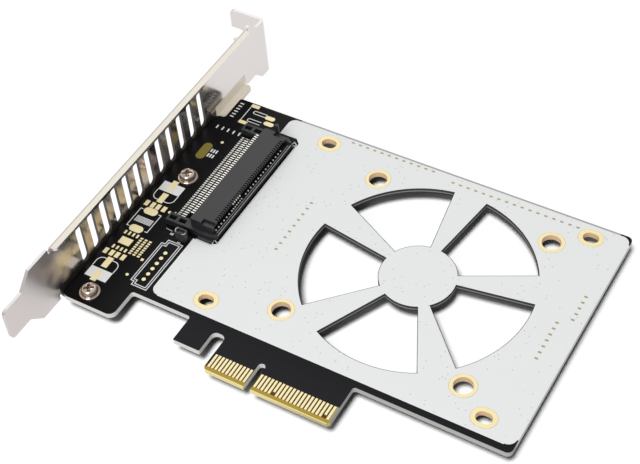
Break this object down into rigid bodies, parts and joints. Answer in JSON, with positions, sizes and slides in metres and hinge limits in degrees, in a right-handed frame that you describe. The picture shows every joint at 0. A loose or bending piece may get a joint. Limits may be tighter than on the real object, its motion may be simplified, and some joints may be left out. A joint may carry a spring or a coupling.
{
  "type": "nvme adapter card",
  "caption": "Flat slot card for a bare solid state drive: fan grille, drive socket, gold edge fingers and a folded bracket.",
  "frame": {"origin": "bottom centre of the bounding box", "axes": "+X along the card away from the bracket, -Y towards the gold edge fingers, +Z out of the component side"},
  "size_m": [0.1324, 0.12, 0.0216],
  "materials": {
    "solder_mask": "satin black solder mask",
    "white_ink": "matte white ink",
    "gold": "immersion gold",
    "housing": "dark grey moulded plastic",
    "lead_metal": "tinned",
    "bracket_steel": "nickel plated",
    "screw_steel": "nickel plated"
  },
  "bodies": {
    "root": {"circuit_board": "solder_mask", "white_ink_field": "white_ink", "edge_fingers_top": "gold", "edge_fingers_bottom": "gold", "drive_hole_rings": "gold", "fan_hole_rings": "gold", "marker_pads": "gold", "capacitor_pads": "gold", "small_pads": "gold", "inductor_pads": "gold", "chip_heat_pad": "gold", "chip_pin_pads": "gold", "header_pads": "gold", "connector_housing": "housing", "connector_leads": "lead_metal", "upper_contacts": "gold", "lower_contacts": "gold", "bracket": "bracket_steel", "bracket_screws": "screw_steel"}
  },
  "joints": []
}
